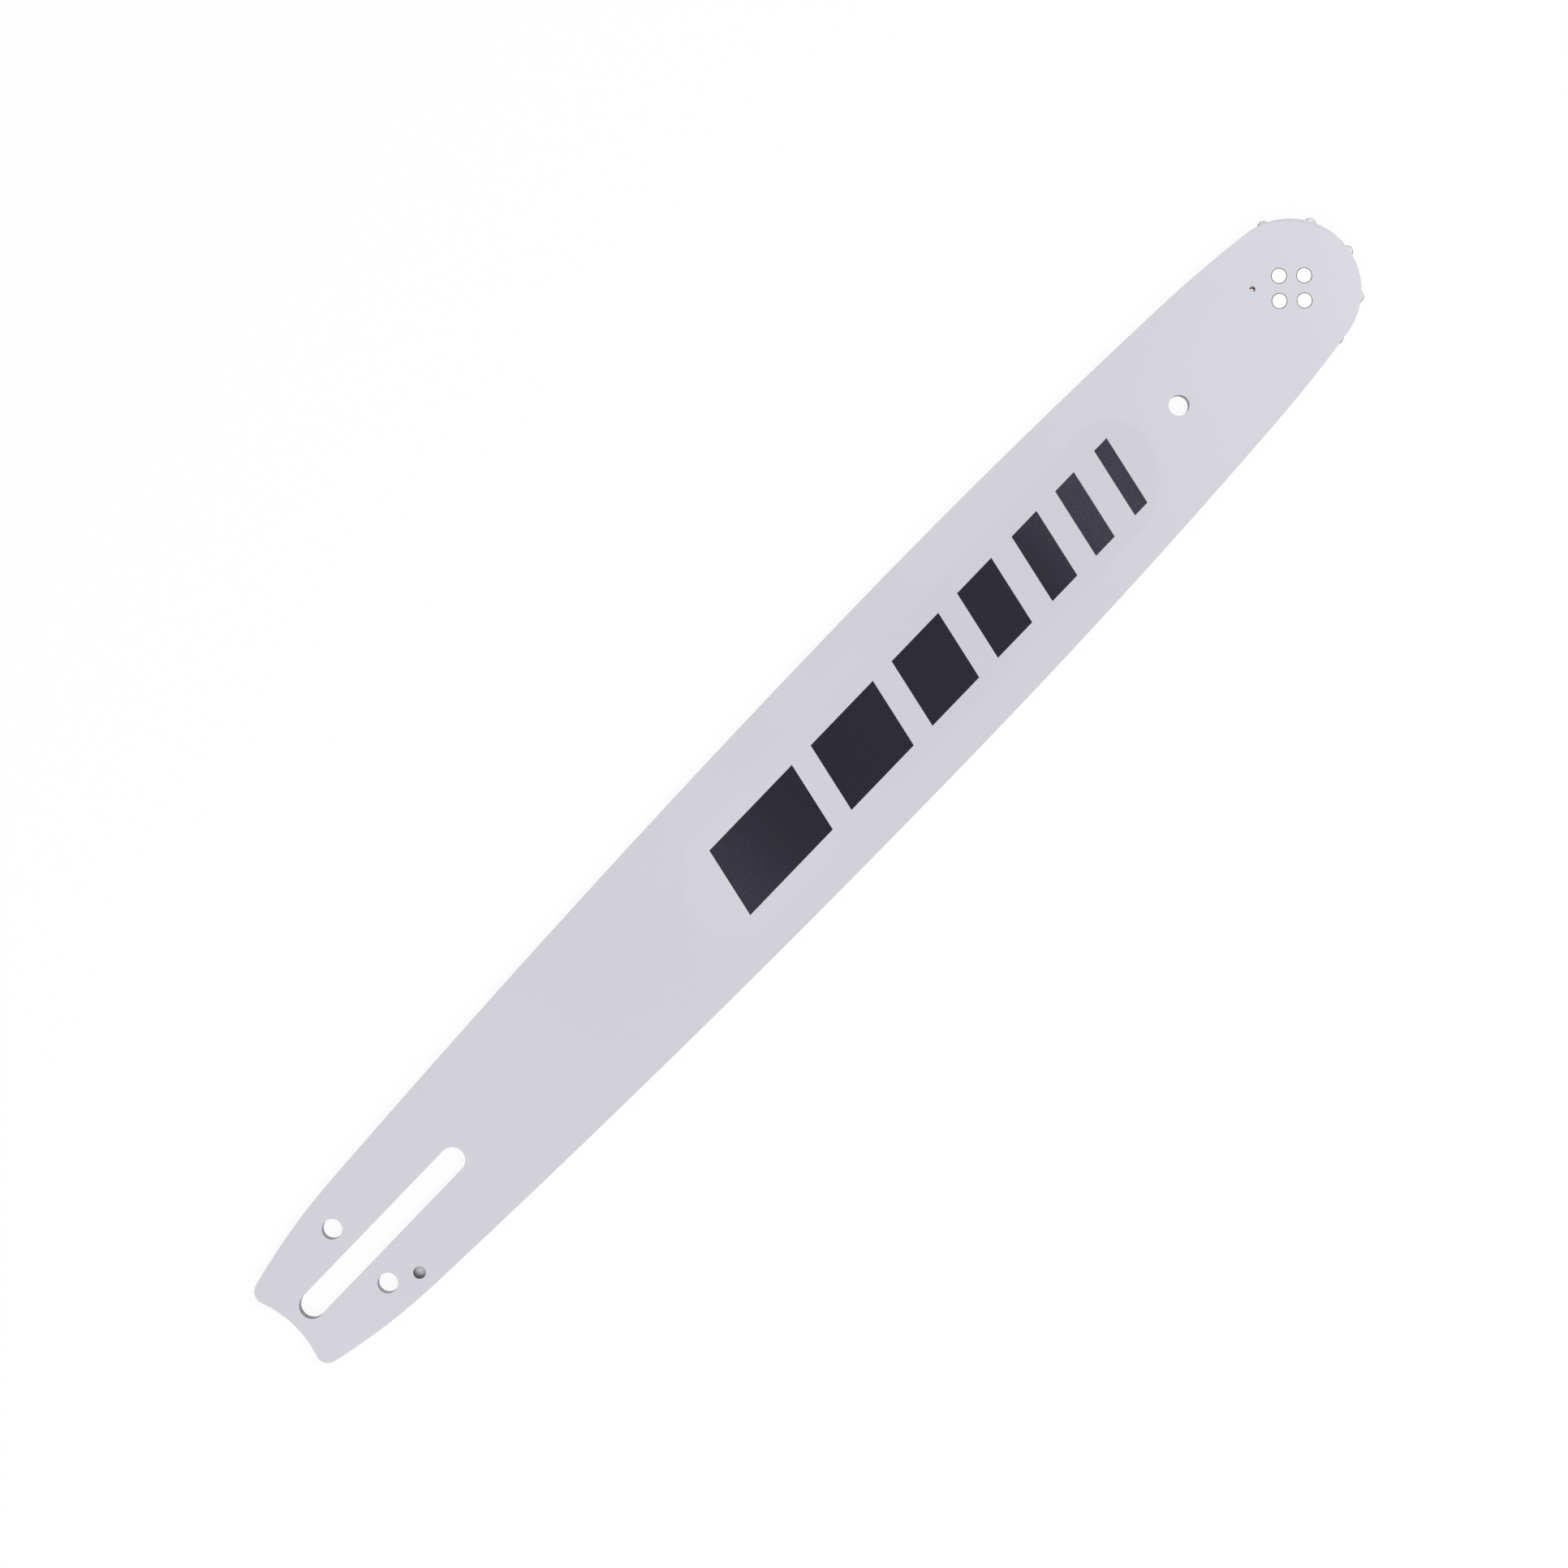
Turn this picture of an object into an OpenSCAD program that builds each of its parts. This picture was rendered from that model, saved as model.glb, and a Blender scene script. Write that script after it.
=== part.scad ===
// Chainsaw guide bar with a sprocket nose, laid flat.
// Two steel side plates hold a narrower core plate between them. The core stops short of
// both rails, so the gap left between the plates is the groove that the chain runs in.
// At the nose the plates carry a toothed sprocket on a ring of rollers round a riveted race.
// Origin: middle of the stud slot, on the lower face. +X runs to the nose, +Z is up.

/* [Bar outline] */
// Distance from the middle of the stud slot to the centre of the nose's arc
nose_x = 412.1; // [330:0.1:520]
// Radius of the rounded nose
nose_r = 22.5; // [21:0.1:24]
// Half of the angle over which the nose is round, up to where each flank meets it
nose_wrap = 82; // [70:1:86]
// Distance from the centre of the nose's arc back to the start of the nose flank
shoulder_back = 32.5; // [20:0.5:60]
// Width over the rails at the start of the nose flank
shoulder_w = 51.5; // [48:0.1:55]
// Distance from the middle of the stud slot to the widest place
belly_x = 242.6; // [180:0.1:280]
// Width over the rails at the widest place
belly_w = 59.1; // [56:0.1:66]
// Width over the rails at the middle of the stud slot
slot_section_w = 46.2; // [43:0.1:52]

/* [Tail] */
// Distance from the middle of the stud slot back to the start of the tail's horns
tail_back = 39.4; // [38.5:0.1:46]
// Width over the rails at the start of the tail's horns
tail_w = 34.4; // [31:0.1:37]
// Radius of the two rounded horns
horn_r = 4; // [2.5:0.1:5]
// Radius of the hollow between the horns
hollow_r = 35.4; // [28:0.1:60]

/* [Laminations] */
// Thickness of each side plate
plate_t = 1.3; // [1:0.05:2]
// Width of the chain groove, which is the thickness of the core plate
groove_w = 1.4; // [1.2:0.05:1.8]
// Depth of the chain groove below the rails
groove_depth = 6.5; // [5:0.1:8]
// Length of the chain's way in at the tail, where the groove is flared
flare_len = 9; // [4:0.5:14]
// Depth of the flare in each side plate, at the tail's end
flare_depth = 0.4; // [0.1:0.05:0.6]
// Width of the ground bevel at the tip of the nose, from where it fades out on both sides
nose_bevel_w = 1.4; // [0.6:0.1:3]
// Depth of the ground bevel at the tip of the nose
nose_bevel_h = 0.2; // [0.1:0.05:0.5]

/* [Stud slot and holes] */
// Width of the slot for the clamping studs
slot_w = 8.3; // [7:0.1:10]
// Length of the slot from end to end
slot_len = 71.8; // [50:0.1:73]
// Diameter of the two chain tensioner holes
tension_hole_d = 6.5; // [4:0.1:8]
// Distance of the tensioner holes behind the middle of the slot
tension_hole_back = 10.1; // [2:0.1:20]
// Distance between the centres of the two tensioner holes
tension_hole_span = 24.4; // [20:0.1:26]
// Diameter of the oil inlet in each side plate
oil_hole_d = 4; // [2:0.1:5]
// Distance of the oil inlets behind the middle of the slot
oil_hole_back = 0.8; // [0:0.1:3]
// Distance of the oil inlets from the bar's centre line
oil_hole_out = 17.1; // [15.5:0.05:18.5]
// How far the notch in the core stands back from the oil inlet, all round it
oil_notch_room = 0.5; // [0.2:0.1:1.5]
// Diameter of the hanging hole behind the nose
hang_hole_d = 6.6; // [4:0.1:9]
// Distance of the hanging hole behind the sprocket's axis
hang_hole_back = 51.2; // [40:0.1:80]

/* [Nose sprocket] */
// How far the axis of the sprocket, its race and their rivets sits ahead of the nose's arc
sprocket_ahead = 0.8; // [0:0.1:1.2]
// Number of teeth
tooth_count = 9; // [8:1:10]
// How far the teeth stand out past the tip of the nose
tooth_reach = 1.5; // [1:0.1:2.5]
// Radius of the rounded tip of each tooth
tooth_tip_r = 1.95; // [1.2:0.05:2.4]
// Angle of one tooth from the bar's centre line, at rest
tooth_angle = -12.4; // [-20:0.1:20]
// Metal left between the gullets and the bearing
sprocket_rim = 3; // [2:0.1:4]
// Running gap on each side of the sprocket, between the plates
sprocket_side_gap = 0.1; // [0.05:0.01:0.2]
// Gap between the teeth and the hollow front end of the core plate
core_front_gap = 0.8; // [0.4:0.1:3]

/* [Nose bearing] */
// Diameter of the fixed race
race_d = 21.8; // [18:0.1:23]
// Diameter of each roller
roller_d = 3; // [2.4:0.1:3.4]
// Radial running gap between the rollers and what they roll on
bearing_gap = 0.05; // [0.02:0.01:0.1]
// Gap at each end of a roller
roller_end_gap = 0.05; // [0.02:0.01:0.1]
// Angle of the first roller from the bar's centre line, at rest
roller_angle = 10.9; // [0:0.1:18]

/* [Rivets] */
// Diameter of the circle that the four rivets sit on
rivet_circle_d = 11.2; // [8:0.1:12.5]
// Diameter of a rivet where it passes through the race
rivet_shank_d = 4; // [2:0.1:4.4]
// Diameter of a rivet's flush head
rivet_head_d = 5; // [4.6:0.1:6]
// Width of the bevelled rim round a rivet's head
rivet_rim = 0.3; // [0.1:0.05:0.5]
// Gap between a rivet and its holes
rivet_gap = 0.02; // [0.01:0.01:0.1]

/* [Grease hole] */
// Diameter of the grease hole over the rollers
grease_hole_d = 1.9; // [1:0.1:2.8]
// Angle of the grease hole about the sprocket's axis
grease_angle = 135.8; // [100:0.1:170]

/* [Hidden] */
bar_t = 2 * plate_t + groove_w;
tail_corner = [-tail_back, tail_w / 2];
slot_section = [0, slot_section_w / 2];
belly = [belly_x, belly_w / 2];
shoulder = [nose_x - shoulder_back, shoulder_w / 2];
nose_end = [nose_x + nose_r * cos(nose_wrap), nose_r * sin(nose_wrap)];
axis_x = nose_x + sprocket_ahead;

roller_pitch_r = race_d / 2 + bearing_gap + roller_d / 2;
// As many rollers as fit round the race with the running gap on each side of each
roller_count = floor(180 / asin((roller_d / 2 + bearing_gap) / roller_pitch_r));
sprocket_bore_r = roller_pitch_r + roller_d / 2 + bearing_gap;
sprocket_t = groove_w - 2 * sprocket_side_gap;
tooth_r = nose_r + tooth_reach - sprocket_ahead;
tip_x = tooth_r - tooth_tip_r;
root_r = sprocket_bore_r + sprocket_rim;
half_pitch = 180 / tooth_count;
// The gullet's arc touches the root circle and runs smoothly into both tips beside it
gullet_r = (pow(root_r, 2) + pow(tip_x, 2) - pow(tooth_tip_r, 2) - 2 * root_r * tip_x * cos(half_pitch))
    / (2 * (tooth_tip_r + tip_x * cos(half_pitch) - root_r));
gullet_x = root_r + gullet_r;
// The arcs cross by this much instead of only touching
gullet_bite = 0.02;

tension_holes = [for (side = [-1, 1]) [-tension_hole_back, side * tension_hole_span / 2]];
oil_hole = [-oil_hole_back, -oil_hole_out];
hang_hole = [axis_x - hang_hole_back, 0];
grease_hole = [axis_x + roller_pitch_r * cos(grease_angle), roller_pitch_r * sin(grease_angle)];
rivet_circle_r = rivet_circle_d / 2;
rivet_places = [for (turn = [0:90:270]) [axis_x + rivet_circle_r * cos(turn), rivet_circle_r * sin(turn)]];

// Small overshoot of every cut past the face that it opens
cut = 1;
paint_grey = [0.82, 0.82, 0.84];
steel_grey = [0.62, 0.62, 0.64];
bright_steel = [0.86, 0.86, 0.86];
$fn = 48;

function roller_name(i) = str("roller_", i < 10 ? "0" : "", i);

// Angle of the line from p to q
function bearing(p, q) = atan2(q.y - p.y, q.x - p.x);

// Points after p on the arc from p to q that turns by 2 * half degrees, as [x, y, heading]
function arc_to(p, q, half, steps) = [
    for (i = [1:steps])
        let (a = half * i / steps)
        let (chord = norm(q - p) * sin(a) / sin(half))
        let (way = bearing(p, q) - half + a)
        [p.x + chord * cos(way), p.y + chord * sin(way), way + a]
];

// Points on a circle from angle a to angle b, both included
function round_points(centre, r, a, b, steps) = [
    for (i = [0:steps])
        let (turn = a + (b - a) * i / steps)
        [centre.x + r * cos(turn), centre.y + r * sin(turn)]
];

// The upper rail is four arcs that run into each other, from the tail to the nose
belly_turn = -bearing(slot_section, belly);
section_heading = -2 * belly_turn;
tail_turn = section_heading - bearing(tail_corner, slot_section);
tail_heading = section_heading - 2 * tail_turn;
front_turn = bearing(belly, shoulder);
shoulder_turn = bearing(shoulder, nose_end) - 2 * front_turn;
rail = concat(
    [[tail_corner.x, tail_corner.y, tail_heading]],
    arc_to(tail_corner, slot_section, tail_turn, 14),
    arc_to(slot_section, belly, belly_turn, 24),
    arc_to(belly, shoulder, front_turn, 16),
    arc_to(shoulder, nose_end, shoulder_turn, 8)
);

// The horns run smoothly from the rails into the hollow tail end
horn = [tail_corner.x + horn_r * sin(tail_heading), tail_corner.y - horn_r * cos(tail_heading)];
hollow_x = horn.x - sqrt(pow(hollow_r + horn_r, 2) - pow(horn.y, 2));
hollow_half = atan2(horn.y, horn.x - hollow_x);
tail_end_x = horn.x - horn_r;

function flipped(points) = [for (i = [len(points) - 1:-1:0]) [points[i].x, -points[i].y]];
function inset_by(points, d) = [for (p = points) [p.x + d * sin(p[2]), p.y - d * cos(p[2])]];

module bar_profile() {
    upper = concat(
        round_points(horn, horn_r, 180 + hollow_half, 91 + tail_heading, 12),
        [for (p = rail) [p.x, p.y]]
    );
    polygon(concat(
        round_points([hollow_x, 0], hollow_r, 1 - hollow_half, hollow_half - 1, 20),
        upper,
        round_points([nose_x, 0], nose_r, nose_wrap - 2, 2 - nose_wrap, 60),
        flipped(upper)
    ));
}

// The core's outline lies one groove depth inside the rails and is open towards the tail
module core_profile() {
    edge = inset_by(rail, groove_depth);
    first = [tail_end_x - horn_r, edge[0].y - (edge[0].x - tail_end_x + horn_r) * tan(tail_heading)];
    upper = concat([first], edge);
    intersection() {
        bar_profile();
        polygon(concat(upper, flipped(upper)));
    }
}

module at_each(places) {
    for (place = places) translate([place.x, place.y, 0]) children();
}

module stud_slot(height) {
    half = (slot_len - slot_w) / 2;
    translate([-half, -slot_w / 2, -cut]) cube([2 * half, slot_w, height + 2 * cut]);
    at_each([[-half, 0], [half, 0]]) hole(slot_w, height);
}

module hole(d, height) {
    translate([0, 0, -cut]) cylinder(h = height + 2 * cut, d = d);
}

// Holes that pass through plates and core alike
module shared_holes(height) {
    stud_slot(height);
    at_each(tension_holes) hole(tension_hole_d, height);
    at_each([hang_hole]) hole(hang_hole_d, height);
}

// The groove's side walls spread towards the tail, to lead the chain in
module chain_flare() {
    slope = flare_depth / flare_len;
    intersection() {
        linear_extrude(plate_t, center = true) difference() {
            bar_profile();
            core_profile();
        }
        rotate([90, 0, 0]) linear_extrude(belly_w, center = true) polygon([
            [tail_end_x - cut, -plate_t],
            [tail_end_x - cut, flare_depth + slope * cut],
            [tail_end_x + flare_len, 0],
            [tail_end_x + flare_len, -plate_t]
        ]);
    }
}

// The cone that grinds the bevel sits behind the nose's arc and meets it at the arc's two ends
module nose_bevel() {
    back = nose_bevel_w / (1 - cos(nose_wrap));
    start = nose_end - [nose_x - back, 0];
    start_r = norm(start);
    end_r = nose_r + back;
    slope = nose_bevel_h / (end_r - start_r);
    reach = atan2(start.y, start.x);
    translate([nose_x - back, 0, 0]) rotate([0, 0, -reach]) rotate_extrude(angle = 2 * reach) polygon([
        [start_r - cut, plate_t + slope * cut],
        [end_r + cut, plate_t + slope * cut],
        [end_r + cut, plate_t - nose_bevel_h - slope * cut]
    ]);
}

// Each rivet's hole in a side plate widens from the shank to the flush head
module rivet_sink() {
    cylinder(h = plate_t, r1 = rivet_shank_d / 2 + rivet_gap, r2 = rivet_head_d / 2 + rivet_gap);
    hole(rivet_shank_d, plate_t);
}

// One pressing makes both side plates. Its inner face is at z = 0.
module side_plate() {
    difference() {
        linear_extrude(plate_t) bar_profile();
        shared_holes(plate_t);
        at_each([oil_hole]) hole(oil_hole_d, plate_t);
        at_each([grease_hole]) hole(grease_hole_d, plate_t);
        at_each(rivet_places) rivet_sink();
        chain_flare();
        nose_bevel();
    }
}

module side_plate_front() {
    color(paint_grey) translate([0, 0, plate_t + groove_w]) side_plate();
}

// The back plate is the same pressing turned over about the bar's long axis
module side_plate_back() {
    color(paint_grey) translate([0, 0, plate_t]) rotate([180, 0, 0]) side_plate();
}

// Each oil inlet opens through a wider notch in the core's edge into the groove
module oil_notch(side) {
    notch_r = oil_hole_d / 2 + oil_notch_room;
    translate([oil_hole.x, side * oil_hole_out, 0]) {
        hole(2 * notch_r, groove_w);
        translate([-notch_r, side > 0 ? 0 : -groove_depth, -cut])
            cube([2 * notch_r, groove_depth, groove_w + 2 * cut]);
    }
}

module core_plate() {
    color(steel_grey) translate([0, 0, plate_t]) difference() {
        linear_extrude(groove_w) core_profile();
        shared_holes(groove_w);
        at_each([[axis_x, 0]]) hole(2 * (tooth_r + core_front_gap), groove_w);
        for (side = [-1, 1]) oil_notch(side);
    }
}

// Rounded teeth with a round gullet between each two, cut from one disc
module sprocket_profile() {
    touch = [tip_x, 0] + tooth_tip_r / (tooth_tip_r + gullet_r)
        * [gullet_x * cos(half_pitch) - tip_x, gullet_x * sin(half_pitch)];
    difference() {
        union() {
            circle(r = norm(touch), $fn = 96);
            for (i = [0:tooth_count - 1]) rotate([0, 0, 2 * i * half_pitch])
                translate([tip_x, 0]) circle(r = tooth_tip_r);
        }
        for (i = [0:tooth_count - 1]) rotate([0, 0, (2 * i + 1) * half_pitch])
            translate([gullet_x, 0]) circle(r = gullet_r + gullet_bite, $fn = 72);
        circle(r = sprocket_bore_r, $fn = 96);
    }
}

module nose_sprocket() {
    color(bright_steel) translate([axis_x, 0, plate_t + sprocket_side_gap])
        rotate([0, 0, tooth_angle]) linear_extrude(sprocket_t) sprocket_profile();
}

module bearing_race() {
    color(steel_grey) translate([0, 0, plate_t]) difference() {
        translate([axis_x, 0, 0]) cylinder(h = groove_w, d = race_d, $fn = 96);
        at_each(rivet_places) hole(rivet_shank_d + 2 * rivet_gap, groove_w);
    }
}

module roller(i) {
    turn = roller_angle + 360 * (i - 1) / roller_count;
    color(bright_steel) translate([axis_x, 0, 0]) rotate([0, 0, turn])
        translate([roller_pitch_r, 0, plate_t + roller_end_gap])
            cylinder(h = groove_w - 2 * roller_end_gap, d = roller_d, $fn = 24);
}

// A rivet is turned: two flush heads with a bevelled rim, and a straight shank between them
module rivet() {
    head_r = rivet_head_d / 2;
    shank_r = rivet_shank_d / 2;
    rim_r = head_r - (head_r - shank_r) * rivet_rim / plate_t;
    rotate_extrude() polygon([
        [0, 0],
        [head_r - rivet_rim, 0],
        [rim_r, rivet_rim],
        [shank_r, plate_t],
        [shank_r, plate_t + groove_w],
        [rim_r, bar_t - rivet_rim],
        [head_r - rivet_rim, bar_t],
        [0, bar_t]
    ]);
}

module rivets() {
    color(bright_steel) at_each(rivet_places) rivet();
}

side_plate_front();
side_plate_back();
core_plate();
nose_sprocket();
bearing_race();
rivets();
for (i = [1:roller_count]) roller(i);
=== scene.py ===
"""Looks for a laminated chainsaw guide bar with a sprocket nose, seen straight from above.

Lengths are in metres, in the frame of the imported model: +X runs to the nose, +Z is up.
"""

import math

import bmesh
import bpy
from mathutils import Matrix, Vector


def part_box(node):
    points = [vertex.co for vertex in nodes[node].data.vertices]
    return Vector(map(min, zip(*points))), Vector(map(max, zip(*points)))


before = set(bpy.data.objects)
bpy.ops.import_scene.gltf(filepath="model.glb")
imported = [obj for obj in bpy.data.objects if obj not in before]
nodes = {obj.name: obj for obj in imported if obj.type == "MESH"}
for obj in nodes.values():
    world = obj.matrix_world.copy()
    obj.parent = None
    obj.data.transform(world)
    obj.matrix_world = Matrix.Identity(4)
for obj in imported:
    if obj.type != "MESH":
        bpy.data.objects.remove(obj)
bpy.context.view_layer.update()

MM = 0.001
TOP_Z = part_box("side_plate_front")[1].z
INNER_FRONT_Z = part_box("core_plate")[1].z
INNER_BACK_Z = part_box("core_plate")[0].z
RIVET_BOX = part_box("rivets")

# The camera looks straight down at the bar, which lies across the picture
VIEW_CENTRE = Vector((189.57 * MM, 6.9 * MM, TOP_Z))
VIEW_HEIGHT = 880.0 * MM
VIEW_WIDTH = 493.6 * MM
VIEW_TURN = math.radians(-46.09)
SENSOR = 36.0

# Light on the object, where 1 shows a colour as it is written
SKY_LEVEL = 0.5
WHITE_LEVEL = 1.0

# The floor is just below the bar, so that their faces don't lie in one plane. It is open to rays
# shorter than the reach, so that a view from below shows the underside lit. Near the bar a small
# share of it is left to the lamps, and keeps the bar's shadow, and the rest glows white.
FLOOR_SIZE = 8.0
FLOOR_Z = -0.05 * MM
FLOOR_COLOUR = (0.98, 0.98, 0.98, 1)
TOUCH_REACH = 1.0 * MM
GLOW_NEAR = 0.91
GLOW_NEAR_REACH = 0.36
GLOW_FULL_REACH = 1.1

# Colours are linear
WHITE = (1, 1, 1, 1)
BLACK = (0, 0, 0, 1)
PAINT = (0.614, 0.617, 0.656, 1)
PAINT_SHADE = (0.594, 0.597, 0.640, 1)
INK = (0.001, 0.0, 0.007, 1)
# The pale of the ink's specks, and of the highlight painted on both ends of the band
INK_SPECK_AND_SHEEN = (0.0326, 0.031, 0.0537, 1)
RAIL_STEEL = (0.60, 0.595, 0.59, 1)
RAIL_SHADE = (0.40, 0.395, 0.39, 1)
PUNCHED_STEEL = (0.42, 0.42, 0.44, 1)
# The stud slot's walls, painted darker than the holes' walls as shade
SLOT_WALL_SHADE = (0.235, 0.235, 0.255, 1)
OILED_STEEL = (0.36, 0.36, 0.375, 1)
DARK_STEEL = (0.17, 0.17, 0.18, 1)
# The dark of the layers' seams, also used on the sprocket teeth's rims as painted shade
SEAM_DARK_AND_RIM_SHADE = (0.16, 0.15, 0.145, 1)
TOOTH_STEEL = (0.50, 0.495, 0.50, 1)
TOOTH_SHADE = (0.38, 0.375, 0.38, 1)
HEAD_STEEL = (0.60, 0.595, 0.59, 1)
HEAD_SHADE = (0.55, 0.54, 0.53, 1)
# The border painted darker round a rivet head's bright middle, as shade of its rim
HEAD_SHADED_BORDER = (0.40, 0.355, 0.335, 1)
RING_BROWN = (0.82, 0.74, 0.68, 1)
GREASED_STEEL = (0.42, 0.39, 0.38, 1)
GREASE_SHADE = (0.12, 0.10, 0.09, 1)

# Each steel finish has its lines along x, y and z, as a count to the metre
GROUND_RAIL = {"Colour": RAIL_STEEL, "Shade": RAIL_SHADE, "Lines": (70, 70, 5200),
               "Contrast": 0.7, "Roughness": 0.3}
PUNCHED_WALL = {"Colour": PUNCHED_STEEL, "Shade": DARK_STEEL, "Lines": (1500, 1500, 400),
                "Contrast": 0.6, "Roughness": 0.5}
OILED_INSIDE = {"Colour": OILED_STEEL, "Shade": DARK_STEEL, "Lines": (500, 500, 500),
                "Contrast": 0.5, "Roughness": 0.42}
ROLLED_CORE = {"Colour": PUNCHED_STEEL, "Shade": DARK_STEEL, "Lines": (900, 900, 300),
               "Contrast": 0.7, "Roughness": 0.5}
TOOTH_FACE = {"Colour": TOOTH_STEEL, "Shade": TOOTH_SHADE, "Lines": (200, 3600, 3600),
              "Contrast": 0.4, "Roughness": 0.5}
HEAD_FACE = {"Colour": HEAD_STEEL, "Shade": HEAD_SHADE, "Lines": (150, 4200, 4200),
             "Contrast": 0.4, "Roughness": 0.26}
ROUGH_RIM = {"Shade": DARK_STEEL, "Lines": (900, 900, 900), "Contrast": 0.35, "Roughness": 0.4}
GREASED_BEARING = {"Colour": GREASED_STEEL, "Shade": GREASE_SHADE, "Lines": (400, 400, 900),
                   "Contrast": 0.6, "Roughness": 0.36}

# How far a plate's surface faces outwards, from 1 on its painted face to -1 on its inner one,
# where each finish starts and where it is full
PAINTED_FACING = (0.80, 0.92)
INSIDE_FACING = (-0.6, -0.8)
UPRIGHT_FACING = (0.6, 0.3)

# How level the surface of a tooth or rivet is, from 0 upright to 1 flat, where its bright face
# starts and where it is full
TOOTH_LEVEL = (0.90, 0.98)
HEAD_LEVEL = (0.85, 0.97)

# The middle of a noise, where most of its values lie
NOISE_MIDDLE = (0.35, 0.65)

# The paint's drift of tone, its grain and its waves, as waves to the metre, and what each adds
DRIFT_SCALE = 14.0
GRAIN_SCALE = 2600.0
WAVE_SCALE = 900.0
DRIFT_TONE = 0.5
GRAIN_TONE = 0.35
DRIFT_ROUGHNESS = 0.05
GRAIN_RELIEF = 0.2

# The clouds of oil on steel, and what they and the lines of its working add
CLOUD_SCALE = 160.0
CLOUD_TONE = 0.3
LINE_TONE = 0.7
LINE_ROUGHNESS = 0.12

PAINT_ROUGHNESS = 0.23
PAINT_GLOSS = 0.22
PAINT_RELIEF = 0.004 * MM
STEEL_RELIEF = 0.003 * MM
FACE_RELIEF = 0.002 * MM
PLATE_ROUNDING = 0.08 * MM

# A seam starts at its whole width from the joint and is darkest at a share of it
SEAM_WIDTH = 0.1 * MM
SEAM_START = 1.0
SEAM_DARKEST = 0.3
SEAM_STRENGTH = 0.75

# The outline's rails are ground and the holes are punched. The rails lie further out than this
# line, which rises from the tail, or beyond one of the two ends.
RAIL_LINE_TAIL = 16.4 * MM
RAIL_LINE_SLOPE = 0.1
RAIL_LINE_TOP = 20.4 * MM
TAIL_END_X = -38.0 * MM
NOSE_END_X = 421.0 * MM
SLOT_END_X = 45.0 * MM
SLOT_HALF_Y = 5.0 * MM

# The sprocket's square edges are broken. Its mesh is joined into whole flats for that.
TOOTH_EDGE = 0.3 * MM
SQUARE_EDGE = math.radians(60.0)
FLAT_ANGLE = math.radians(1.0)
JOIN_REACH = 0.005 * MM

# A rivet's head is bright in the middle only, inside a brown ring where it fills its hole. The
# ring's darker border on the flat face is painted shade of the rim.
HEAD_RADIUS = 2.5 * MM
BRIGHT_RADIUS = 2.08 * MM
BRIGHT_EDGE = 0.04 * MM
RIVET_CIRCLE = (RIVET_BOX[1].x - RIVET_BOX[0].x) / 2 - HEAD_RADIUS
RIVET_AXIS_X = (RIVET_BOX[0].x + RIVET_BOX[1].x) / 2

# The printed band is a row of slanted blocks that get shorter towards the nose
BAND_START = 154.6 * MM
BAND_END = 335.6 * MM
BAND_MIDDLE_Y = -2.4 * MM
BAND_HEIGHT = 23.4 * MM
BAND_SLANT = math.tan(math.radians(13.7))
BLOCK_COUNT = 7
BLOCK_SHRINK = 0.74
BLOCK_GAP = 9.0 * MM
RAMP_MARGIN = 0.0005

# Towards both ends of the band a painted highlight makes the ink paler, and its grain shows more
# there
SHEEN_TAIL = (190.0 * MM, 135.0 * MM)
SHEEN_NOSE = (284.0 * MM, 320.0 * MM)
INK_GRAIN_SCALE = 1800.0
SHEEN_LEAST = 0.55
SHEEN_GRAIN = 0.35
THICK_GRAIN = 0.1

# A faint clear film lies under the printed band and shows round it. It has round ends. A painted
# highlight makes it paler than the paint at its tail end, and painted shade darker at its nose end.
FILM_START = 140.0 * MM
FILM_END = 347.0 * MM
FILM_MIDDLE_Y = -1.5 * MM
FILM_RADIUS = 18.0 * MM
FILM_EDGE = 1.6 * MM
FILM_ROUGHNESS = 0.5
FILM_TAIL_HIGHLIGHT = 1.010
FILM_NOSE_SHADE = 0.968
FILM_TAIL_HIGHLIGHT_X = 160.0 * MM
FILM_NOSE_SHADE_X = 262.0 * MM


def put(tree, kind, inputs=None, **settings):
    """Adds a shader node with its settings. Each input is a value or the socket that feeds it."""
    made = tree.nodes.new("ShaderNode" + kind)
    for name, value in settings.items():
        setattr(made, name, value)
    for name, value in (inputs or {}).items():
        if isinstance(value, bpy.types.NodeSocket):
            tree.links.new(value, made.inputs[name])
        else:
            made.inputs[name].default_value = value
    return made


def use_group(tree, group, inputs=None):
    """Places a node group, with its own values."""
    return put(tree, "Group", inputs, node_tree=group)


def calc(tree, operation, first, second=0.0, third=0.0):
    """The result socket of one sum."""
    made = put(tree, "Math", {0: first, 1: second, 2: third}, operation=operation)
    return made.outputs[0]


def ramp_up(tree, value, low, high):
    """0 at low, 1 at high, and smooth between them. Low may be the larger of the two."""
    made = put(tree, "MapRange", {"Value": value, "From Min": low, "From Max": high},
               interpolation_type="SMOOTHSTEP")
    return made.outputs["Result"]


def blend_colour(tree, share, first, second, way="MIX"):
    """First colour where share is 0, second where it is 1. They are a Mix node's inputs 6 and 7."""
    made = put(tree, "Mix", {0: share, 6: first, 7: second}, data_type="RGBA", blend_type=way)
    return made.outputs[2]


def blend_value(tree, share, first, second):
    """First value where share is 0, second where it is 1. They are a Mix node's inputs 2 and 3."""
    made = put(tree, "Mix", {0: share, 2: first, 3: second}, data_type="FLOAT")
    return made.outputs[0]


def noise(tree, place, scale, detail, roughness=0.5):
    """Soft noise between 0 and 1. Scale is about how many waves it has to the metre."""
    made = put(tree, "TexNoise", {"Vector": place, "Scale": scale, "Detail": detail,
                                  "Roughness": roughness})
    return made.outputs["Fac"]


def axes(tree, place):
    """The x, y and z sockets of a place."""
    return put(tree, "SeparateXYZ", {0: place}).outputs


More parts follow.
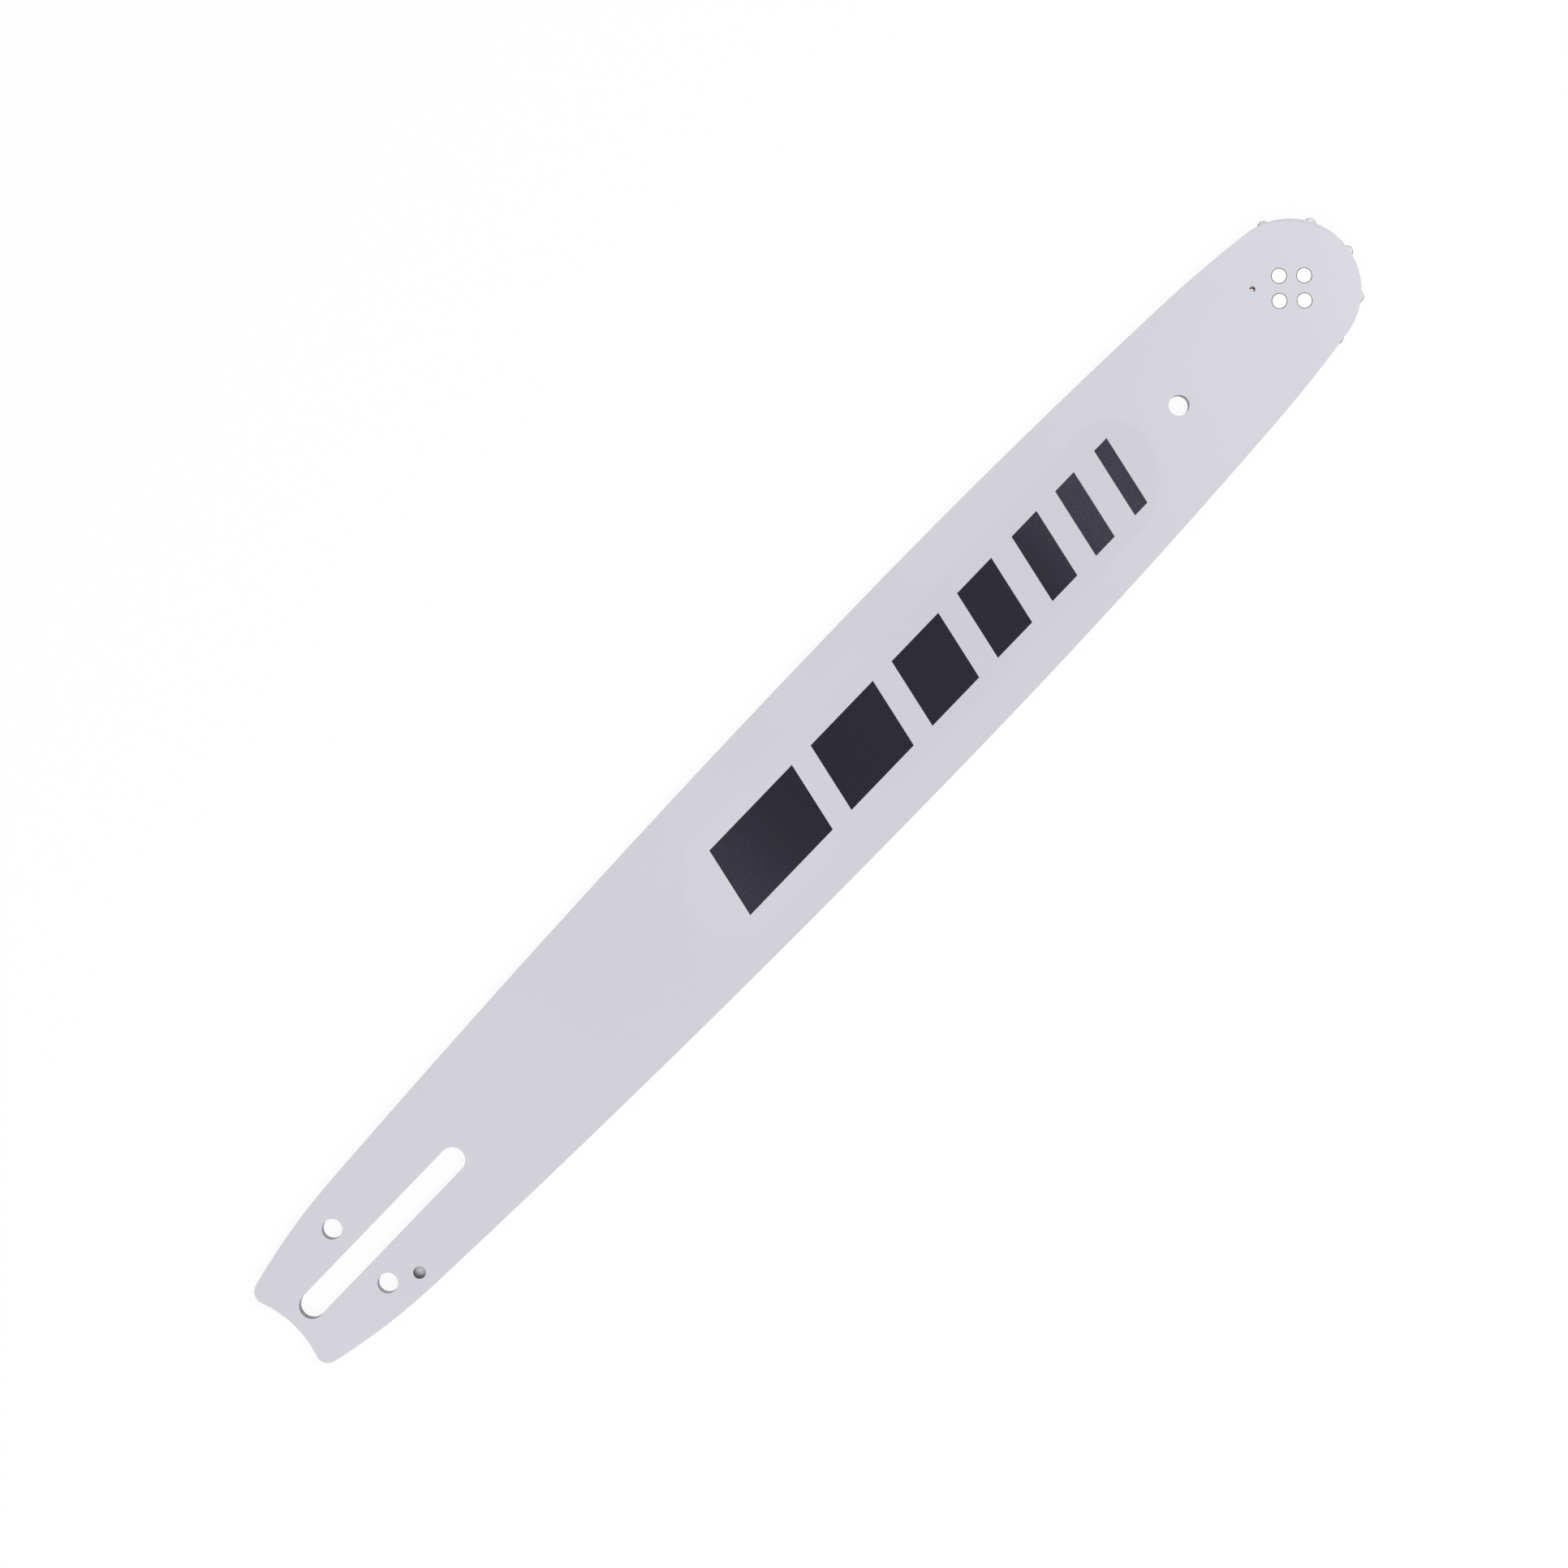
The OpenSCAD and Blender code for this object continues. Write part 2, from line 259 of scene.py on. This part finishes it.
def object_place(tree):
    """The place of a point, in the frame of the model."""
    return put(tree, "TexCoord").outputs["Object"]


def length_of(tree, along, across):
    """The distance that two sides of a right angle span."""
    square = calc(tree, "MULTIPLY_ADD", along, along, calc(tree, "MULTIPLY", across, across))
    return calc(tree, "SQRT", square)


def new_group(name, inputs, outputs):
    """An empty node group with named sockets, as (group, its inputs node, its outputs node)."""
    group = bpy.data.node_groups.new(name, "ShaderNodeTree")
    for label, kind, value in inputs:
        socket = group.interface.new_socket(label, in_out="INPUT",
                                            socket_type="NodeSocket" + kind)
        socket.default_value = value
    for label, kind in outputs:
        group.interface.new_socket(label, in_out="OUTPUT", socket_type="NodeSocket" + kind)
    return group, group.nodes.new("NodeGroupInput"), group.nodes.new("NodeGroupOutput")


def make_paint_skin():
    """Sprayed paint: a faint drift of tone, fine grain and the low waves of the dried film."""
    group, given, result = new_group(
        "paint_skin",
        [("Colour", "Color", PAINT), ("Shade", "Color", PAINT_SHADE),
         ("Roughness", "Float", PAINT_ROUGHNESS)],
        [("Colour", "Color"), ("Roughness", "Float"), ("Height", "Float")],
    )
    place = object_place(group)
    drift = ramp_up(group, noise(group, place, DRIFT_SCALE, detail=2.0), *NOISE_MIDDLE)
    grain = noise(group, place, GRAIN_SCALE, detail=2.0)
    waves = noise(group, place, WAVE_SCALE, detail=1.0)
    drifted = calc(group, "MULTIPLY", drift, DRIFT_TONE)
    tone = calc(group, "MULTIPLY_ADD", grain, GRAIN_TONE, drifted)
    colour = blend_colour(group, tone, given.outputs["Colour"], given.outputs["Shade"])
    roughness = calc(group, "MULTIPLY_ADD", drift, DRIFT_ROUGHNESS, given.outputs["Roughness"])
    height = calc(group, "MULTIPLY_ADD", grain, GRAIN_RELIEF, waves)
    group.links.new(colour, result.inputs["Colour"])
    group.links.new(roughness, result.inputs["Roughness"])
    group.links.new(height, result.inputs["Height"])
    return group


def make_steel_grain():
    """Ground or rolled steel: fine lines drawn out along the way of working, and oily clouds."""
    group, given, result = new_group(
        "steel_grain",
        [("Colour", "Color", GROUND_RAIL["Colour"]), ("Shade", "Color", GROUND_RAIL["Shade"]),
         ("Lines", "Vector", GROUND_RAIL["Lines"]),
         ("Contrast", "Float", GROUND_RAIL["Contrast"]),
         ("Roughness", "Float", GROUND_RAIL["Roughness"])],
        [("Colour", "Color"), ("Roughness", "Float"), ("Height", "Float")],
    )
    place = object_place(group)
    drawn = put(group, "VectorMath", {0: place, 1: given.outputs["Lines"]}, operation="MULTIPLY")
    lines = noise(group, drawn.outputs[0], scale=1.0, detail=4.0, roughness=0.6)
    cloud = noise(group, place, CLOUD_SCALE, detail=3.0)
    clouded = calc(group, "MULTIPLY", cloud, CLOUD_TONE)
    tone = calc(group, "MULTIPLY_ADD", lines, LINE_TONE, clouded)
    depth = ramp_up(group, tone, *NOISE_MIDDLE)
    share = calc(group, "MULTIPLY", depth, given.outputs["Contrast"])
    colour = blend_colour(group, share, given.outputs["Colour"], given.outputs["Shade"])
    roughness = calc(group, "MULTIPLY_ADD", depth, LINE_ROUGHNESS, given.outputs["Roughness"])
    group.links.new(colour, result.inputs["Colour"])
    group.links.new(roughness, result.inputs["Roughness"])
    group.links.new(lines, result.inputs["Height"])
    return group


def make_layer_seam():
    """The two dark lines where the core plate meets the side plates, seen on their edges."""
    group, given, result = new_group("layer_seam", [("Width", "Float", SEAM_WIDTH)],
                                     [("Mask", "Float")])
    height = axes(group, object_place(group))["Z"]
    front = calc(group, "ABSOLUTE", calc(group, "SUBTRACT", height, INNER_FRONT_Z))
    back = calc(group, "ABSOLUTE", calc(group, "SUBTRACT", height, INNER_BACK_Z))
    near = calc(group, "DIVIDE", calc(group, "MINIMUM", front, back), given.outputs["Width"])
    dark = ramp_up(group, near, SEAM_START, SEAM_DARKEST)
    mask = calc(group, "MULTIPLY", dark, SEAM_STRENGTH)
    group.links.new(mask, result.inputs["Mask"])
    return group


PAINT_SKIN = make_paint_skin()
STEEL_GRAIN = make_steel_grain()
LAYER_SEAM = make_layer_seam()


def new_material(name, metallic=0.0, roughness=0.5, specular=0.5):
    """A material with one Principled shader, as (material, tree, shader)."""
    material = bpy.data.materials.new(name)
    material.use_nodes = True
    tree = material.node_tree
    shader = tree.nodes["Principled BSDF"]
    shader.inputs["Metallic"].default_value = metallic
    shader.inputs["Roughness"].default_value = roughness
    shader.inputs["Specular IOR Level"].default_value = specular
    return material, tree, shader


def bump(tree, height, distance, rounding=0.0):
    """The normal of a fine relief. Rounding is how far it turns softly over the piece's edges."""
    inputs = {"Height": height, "Distance": distance}
    if rounding:
        inputs["Normal"] = put(tree, "Bevel", {"Radius": rounding}, samples=6).outputs["Normal"]
    return put(tree, "Bump", inputs).outputs["Normal"]


def band_widths():
    """Widths of the printed blocks, each a fixed share of the one before."""
    room = BAND_END - BAND_START - BLOCK_GAP * (BLOCK_COUNT - 1)
    shares = [BLOCK_SHRINK ** i for i in range(BLOCK_COUNT)]
    return [room * share / sum(shares) for share in shares]


def slanted_place(tree, place, middle_y):
    """How far along the band a point is, on its slant, and how far above its middle line."""
    split = axes(tree, place)
    across = calc(tree, "SUBTRACT", split["Y"], middle_y)
    along = calc(tree, "MULTIPLY_ADD", across, -BAND_SLANT, split["X"])
    return along, across


def printed_mask(tree, place):
    """1 on the printed blocks and 0 beside them."""
    along, across = slanted_place(tree, place, BAND_MIDDLE_Y)
    inside = calc(tree, "LESS_THAN", calc(tree, "ABSOLUTE", across), BAND_HEIGHT / 2)
    length = BAND_END - BAND_START
    share = calc(tree, "DIVIDE", calc(tree, "SUBTRACT", along, BAND_START), length)
    blocks = put(tree, "ValToRGB", {"Fac": share})
    ramp = blocks.color_ramp
    ramp.interpolation = "CONSTANT"
    ramp.elements.remove(ramp.elements[1])
    ramp.elements[0].position = 0.0
    ramp.elements[0].color = BLACK
    start = 0.0
    for width in band_widths():
        first = max(start / length, RAMP_MARGIN)
        last = min((start + width) / length, 1.0 - RAMP_MARGIN)
        ramp.elements.new(first).color = WHITE
        ramp.elements.new(last).color = BLACK
        start += width + BLOCK_GAP
    return calc(tree, "MULTIPLY", blocks.outputs["Color"], inside)


def ink_colour(tree, place):
    """Dark grained ink, paler towards both ends of the band as a painted highlight."""
    along = axes(tree, place)["X"]
    # painted highlight: the ink is paler towards both ends of the band
    sheen_tail = ramp_up(tree, along, *SHEEN_TAIL)
    sheen_nose = ramp_up(tree, along, *SHEEN_NOSE)
    sheen = calc(tree, "MAXIMUM", sheen_tail, sheen_nose)
    grain = ramp_up(tree, noise(tree, place, INK_GRAIN_SCALE, detail=2.0), *NOISE_MIDDLE)
    depth = calc(tree, "MULTIPLY_ADD", grain, SHEEN_GRAIN, SHEEN_LEAST)
    thick = calc(tree, "MULTIPLY", grain, THICK_GRAIN)
    share = calc(tree, "MULTIPLY_ADD", sheen, depth, thick)
    return blend_colour(tree, share, INK, INK_SPECK_AND_SHEEN)


def film_mask(tree, place):
    """1 on the film round the printed band, which slants as the band does."""
    along, across = slanted_place(tree, place, FILM_MIDDLE_Y)
    middle = (FILM_START + FILM_END) / 2
    straight = (FILM_END - FILM_START) / 2 - FILM_RADIUS
    offset = calc(tree, "ABSOLUTE", calc(tree, "SUBTRACT", along, middle))
    over = calc(tree, "MAXIMUM", calc(tree, "SUBTRACT", offset, straight), 0.0)
    reach = length_of(tree, over, across)
    return ramp_up(tree, reach, FILM_RADIUS + FILM_EDGE, FILM_RADIUS - FILM_EDGE)


def film_painted_light(tree, place, film, colour):
    """The paint's colour under the film, with a painted highlight at its tail end and painted shade
    at its nose end.
    """
    # painted light: the film is lighter at its tail end and darker at its nose end
    toward_nose_shade = ramp_up(tree, axes(tree, place)["X"], FILM_TAIL_HIGHLIGHT_X, FILM_NOSE_SHADE_X)
    tone = blend_value(tree, toward_nose_shade, FILM_TAIL_HIGHLIGHT, FILM_NOSE_SHADE)
    return blend_colour(tree, film, colour, tone, way="MULTIPLY")


def rail_mask(tree, place):
    """1 on the ground rails round the outline and 0 on the walls of the holes."""
    split = axes(tree, place)
    along = split["X"]
    rise = calc(tree, "MULTIPLY", calc(tree, "SUBTRACT", along, TAIL_END_X), RAIL_LINE_SLOPE)
    line = calc(tree, "MINIMUM", calc(tree, "ADD", rise, RAIL_LINE_TAIL), RAIL_LINE_TOP)
    side = calc(tree, "GREATER_THAN", calc(tree, "ABSOLUTE", split["Y"]), line)
    tail = calc(tree, "LESS_THAN", along, TAIL_END_X)
    nose = calc(tree, "GREATER_THAN", along, NOSE_END_X)
    return calc(tree, "MAXIMUM", side, calc(tree, "MAXIMUM", tail, nose))


def slot_shade_mask(tree, place):
    """1 on the walls of the stud slot, which are painted darker as shade, and 0 on those of the
    holes.
    """
    split = axes(tree, place)
    near = calc(tree, "LESS_THAN", calc(tree, "ABSOLUTE", split["Y"]), SLOT_HALF_Y)
    return calc(tree, "MULTIPLY", near, calc(tree, "LESS_THAN", split["X"], SLOT_END_X))


def painted_face(tree, place, printed):
    """The outer face of a plate, as (colour, roughness, height)."""
    if not printed:
        skin = use_group(tree, PAINT_SKIN).outputs
        return skin["Colour"], skin["Roughness"], skin["Height"]
    film = film_mask(tree, place)
    roughness = blend_value(tree, film, PAINT_ROUGHNESS, FILM_ROUGHNESS)
    skin = use_group(tree, PAINT_SKIN, {"Roughness": roughness}).outputs
    colour = film_painted_light(tree, place, film, skin["Colour"])
    colour = blend_colour(tree, printed_mask(tree, place), colour, ink_colour(tree, place))
    return colour, skin["Roughness"], skin["Height"]


def bare_steel(tree, place, facing):
    """All that isn't painted on a plate, as (colour, roughness, height)."""
    inside = ramp_up(tree, facing, *INSIDE_FACING)
    upright = ramp_up(tree, calc(tree, "ABSOLUTE", facing), *UPRIGHT_FACING)
    off_rails = calc(tree, "SUBTRACT", 1.0, rail_mask(tree, place))
    in_hole = calc(tree, "MULTIPLY", upright, off_rails)
    # painted shade: the stud slot's walls are darker than those of the holes
    wall = blend_colour(tree, slot_shade_mask(tree, place), PUNCHED_STEEL, SLOT_WALL_SHADE)
    ground = use_group(tree, STEEL_GRAIN, GROUND_RAIL).outputs
    punched = use_group(tree, STEEL_GRAIN, {**PUNCHED_WALL, "Colour": wall}).outputs
    oiled = use_group(tree, STEEL_GRAIN, OILED_INSIDE).outputs
    edge = blend_colour(tree, in_hole, ground["Colour"], punched["Colour"])
    edge = blend_colour(tree, use_group(tree, LAYER_SEAM).outputs["Mask"], edge, SEAM_DARK_AND_RIM_SHADE)
    colour = blend_colour(tree, inside, edge, oiled["Colour"])
    roughness = blend_value(tree, in_hole, ground["Roughness"], punched["Roughness"])
    roughness = blend_value(tree, inside, roughness, oiled["Roughness"])
    return colour, roughness, ground["Height"]


def plate_material(name, outward, printed):
    """Painted outside, ground bare on the rails, rough in the punched holes and oiled inside.

    Outward is the z direction of the painted face.
    """
    material, tree, shader = new_material(name, specular=PAINT_GLOSS)
    coords = put(tree, "TexCoord").outputs
    facing = calc(tree, "MULTIPLY", axes(tree, coords["Normal"])["Z"], outward)
    painted = ramp_up(tree, facing, *PAINTED_FACING)
    face_colour, face_roughness, face_height = painted_face(tree, coords["Object"], printed)
    bare_colour, bare_roughness, bare_height = bare_steel(tree, coords["Object"], facing)
    colour = blend_colour(tree, painted, bare_colour, face_colour)
    roughness = blend_value(tree, painted, bare_roughness, face_roughness)
    height = blend_value(tree, painted, bare_height, face_height)
    normal = bump(tree, height, PAINT_RELIEF, PLATE_ROUNDING)
    tree.links.new(colour, shader.inputs["Base Color"])
    tree.links.new(roughness, shader.inputs["Roughness"])
    tree.links.new(calc(tree, "SUBTRACT", 1.0, painted), shader.inputs["Metallic"])
    tree.links.new(normal, shader.inputs["Normal"])
    return material


def steel_material(name, finish, seamed=False):
    """Bare metal with the grain of its working. Seamed shows the dark seams of the layers."""
    material, tree, shader = new_material(name, metallic=1.0)
    grain = use_group(tree, STEEL_GRAIN, finish).outputs
    colour = grain["Colour"]
    if seamed:
        seam = use_group(tree, LAYER_SEAM).outputs["Mask"]
        colour = blend_colour(tree, seam, colour, SEAM_DARK_AND_RIM_SHADE)
    tree.links.new(colour, shader.inputs["Base Color"])
    tree.links.new(grain["Roughness"], shader.inputs["Roughness"])
    tree.links.new(bump(tree, grain["Height"], STEEL_RELIEF), shader.inputs["Normal"])
    return material


def bright_disc(tree, place):
    """1 in the middle of each of the four rivet heads, which stand on one circle."""
    centred = put(tree, "VectorMath", {0: place, 1: (RIVET_AXIS_X, 0, 0)}, operation="SUBTRACT")
    split = axes(tree, centred.outputs[0])
    along = calc(tree, "ABSOLUTE", split["X"])
    across = calc(tree, "ABSOLUTE", split["Y"])
    out = calc(tree, "SUBTRACT", calc(tree, "MAXIMUM", along, across), RIVET_CIRCLE)
    reach = length_of(tree, out, calc(tree, "MINIMUM", along, across))
    return ramp_up(tree, reach, BRIGHT_RADIUS + BRIGHT_EDGE, BRIGHT_RADIUS - BRIGHT_EDGE)


def faced_material(name, face, wall_colour, face_level, disc=None):
    """Steel ground bright on its flat faces, with another colour left on its rims and walls.

    Disc is a function for the mask of the bright middles of the faces, inside a painted shade
    border.
    """
    material, tree, shader = new_material(name, metallic=1.0)
    coords = put(tree, "TexCoord").outputs
    level = calc(tree, "ABSOLUTE", axes(tree, coords["Normal"])["Z"])
    flat = ramp_up(tree, level, *face_level)
    if disc:
        middle = disc(tree, coords["Object"])
        # painted shade: a darker border round the bright middle of each rivet head
        face = {**face, "Colour": blend_colour(tree, middle, HEAD_SHADED_BORDER, face["Colour"])}
    bright = use_group(tree, STEEL_GRAIN, face).outputs
    left = use_group(tree, STEEL_GRAIN, {**ROUGH_RIM, "Colour": wall_colour}).outputs
    colour = blend_colour(tree, flat, left["Colour"], bright["Colour"])
    roughness = blend_value(tree, flat, left["Roughness"], bright["Roughness"])
    tree.links.new(colour, shader.inputs["Base Color"])
    tree.links.new(roughness, shader.inputs["Roughness"])
    tree.links.new(bump(tree, bright["Height"], FACE_RELIEF), shader.inputs["Normal"])
    return material


def dress(name, material):
    """Gives a CAD node its finish."""
    piece = nodes[name]
    piece.data.materials.clear()
    piece.data.materials.append(material)
    return piece


def break_edges(piece, width):
    """Takes the sharpness off a CAD node's square edges by live modifiers."""
    weld = piece.modifiers.new("joined_faces", "WELD")
    weld.merge_threshold = JOIN_REACH
    flats = piece.modifiers.new("whole_flats", "DECIMATE")
    flats.decimate_type = "DISSOLVE"
    flats.angle_limit = FLAT_ANGLE
    bevel = piece.modifiers.new("broken_edges", "BEVEL")
    bevel.width = width
    bevel.segments = 2
    bevel.limit_method = "ANGLE"
    bevel.angle_limit = SQUARE_EDGE
    bevel.use_clamp_overlap = False
    bevel.harden_normals = True


def dress_bar():
    """Gives every node its finish."""
    front = plate_material("painted_side_plate_front", outward=1.0, printed=True)
    back = plate_material("painted_side_plate_back", outward=-1.0, printed=False)
    dress("side_plate_front", front)
    dress("side_plate_back", back)
    dress("core_plate", steel_material("core_steel", ROLLED_CORE, seamed=True))
    # painted shade: the teeth's rims and walls are dark round their outline
    teeth = faced_material("sprocket_steel", TOOTH_FACE, SEAM_DARK_AND_RIM_SHADE, TOOTH_LEVEL)
    break_edges(dress("nose_sprocket", teeth), TOOTH_EDGE)
    heads = faced_material("rivet_steel", HEAD_FACE, RING_BROWN, HEAD_LEVEL, bright_disc)
    dress("rivets", heads)
    bearing = steel_material("bearing_steel", GREASED_BEARING)
    for name in nodes:
        if name == "bearing_race" or name.startswith("roller_"):
            dress(name, bearing)


def shown_white(tree):
    """1 for rays that show a background: straight from the camera, or by a mirror or glass."""
    path = put(tree, "LightPath").outputs
    seen = calc(tree, "MAXIMUM", path["Is Camera Ray"], path["Is Glossy Ray"])
    return calc(tree, "MAXIMUM", seen, path["Is Transmission Ray"])


def floor_material():
    """Plain white that keeps the bar's soft shadow, and is open from below and where it touches."""
    material, tree, shader = new_material("white_floor", roughness=0.9, specular=0.0)
    shader.inputs["Base Color"].default_value = FLOOR_COLOUR
    glow = put(tree, "Emission", {"Color": WHITE, "Strength": WHITE_LEVEL})
    clear = put(tree, "BsdfTransparent")
    below_view = (VIEW_CENTRE.x, VIEW_CENTRE.y, 0)
    away = put(tree, "VectorMath", {0: object_place(tree), 1: below_view}, operation="DISTANCE")
    far = ramp_up(tree, away.outputs["Value"], GLOW_NEAR_REACH, GLOW_FULL_REACH)
    share = calc(tree, "MULTIPLY", shown_white(tree), blend_value(tree, far, GLOW_NEAR, 1.0))
    above = put(tree, "MixShader", {0: share, 1: shader.outputs[0], 2: glow.outputs[0]})
    under = put(tree, "NewGeometry").outputs["Backfacing"]
    touching = calc(tree, "LESS_THAN", put(tree, "LightPath").outputs["Ray Length"], TOUCH_REACH)
    through = calc(tree, "MAXIMUM", under, touching)
    whole = put(tree, "MixShader", {0: through, 1: above.outputs[0], 2: clear.outputs[0]})
    tree.links.new(whole.outputs[0], tree.nodes["Material Output"].inputs["Surface"])
    return material


def make_floor():
    """A plain square floor under the bar."""
    mesh = bpy.data.meshes.new("floor")
    form = bmesh.new()
    bmesh.ops.create_grid(form, x_segments=1, y_segments=1, size=FLOOR_SIZE / 2)
    form.to_mesh(mesh)
    form.free()
    mesh.transform(Matrix.Translation((0, 0, FLOOR_Z)))
    mesh.materials.append(floor_material())
    floor = bpy.data.objects.new("floor", mesh)
    bpy.context.scene.collection.objects.link(floor)


def make_world():
    """Even light from all round, which the camera sees as white."""
    world = bpy.data.worlds.new("studio")
    world.use_nodes = True
    tree = world.node_tree
    tree.nodes.clear()
    level = blend_value(tree, shown_white(tree), SKY_LEVEL, WHITE_LEVEL)
    sky = put(tree, "Background", {"Color": WHITE, "Strength": level})
    out = put(tree, "OutputWorld")
    tree.links.new(sky.outputs[0], out.inputs["Surface"])
    bpy.context.scene.world = world


def add_lamp(name, place, size, power):
    """A square soft lamp turned towards the middle of the bar."""
    data = bpy.data.lights.new(name, "AREA")
    data.size = size
    data.energy = power
    lamp = bpy.data.objects.new(name, data)
    lamp.location = place
    lamp.rotation_euler = (VIEW_CENTRE - Vector(place)).to_track_quat("-Z", "Y").to_euler()
    bpy.context.scene.collection.objects.link(lamp)


def make_camera():
    """A camera straight above the bar, turned as the photograph is."""
    data = bpy.data.cameras.new("camera")
    data.sensor_width = SENSOR
    data.lens = SENSOR * VIEW_HEIGHT / VIEW_WIDTH
    camera = bpy.data.objects.new("camera", data)
    camera.location = VIEW_CENTRE + Vector((0, 0, VIEW_HEIGHT))
    camera.rotation_euler = (0, 0, VIEW_TURN)
    bpy.context.scene.collection.objects.link(camera)
    bpy.context.scene.camera = camera


bpy.context.scene.view_settings.view_transform = "Standard"
make_camera()
make_world()
add_lamp("nose_lamp", place=(0.97, -0.12, 1.30), size=0.66, power=7.2)
add_lamp("tail_lamp", place=(-0.50, -0.55, 1.20), size=0.9, power=8.5)
make_floor()
dress_bar()
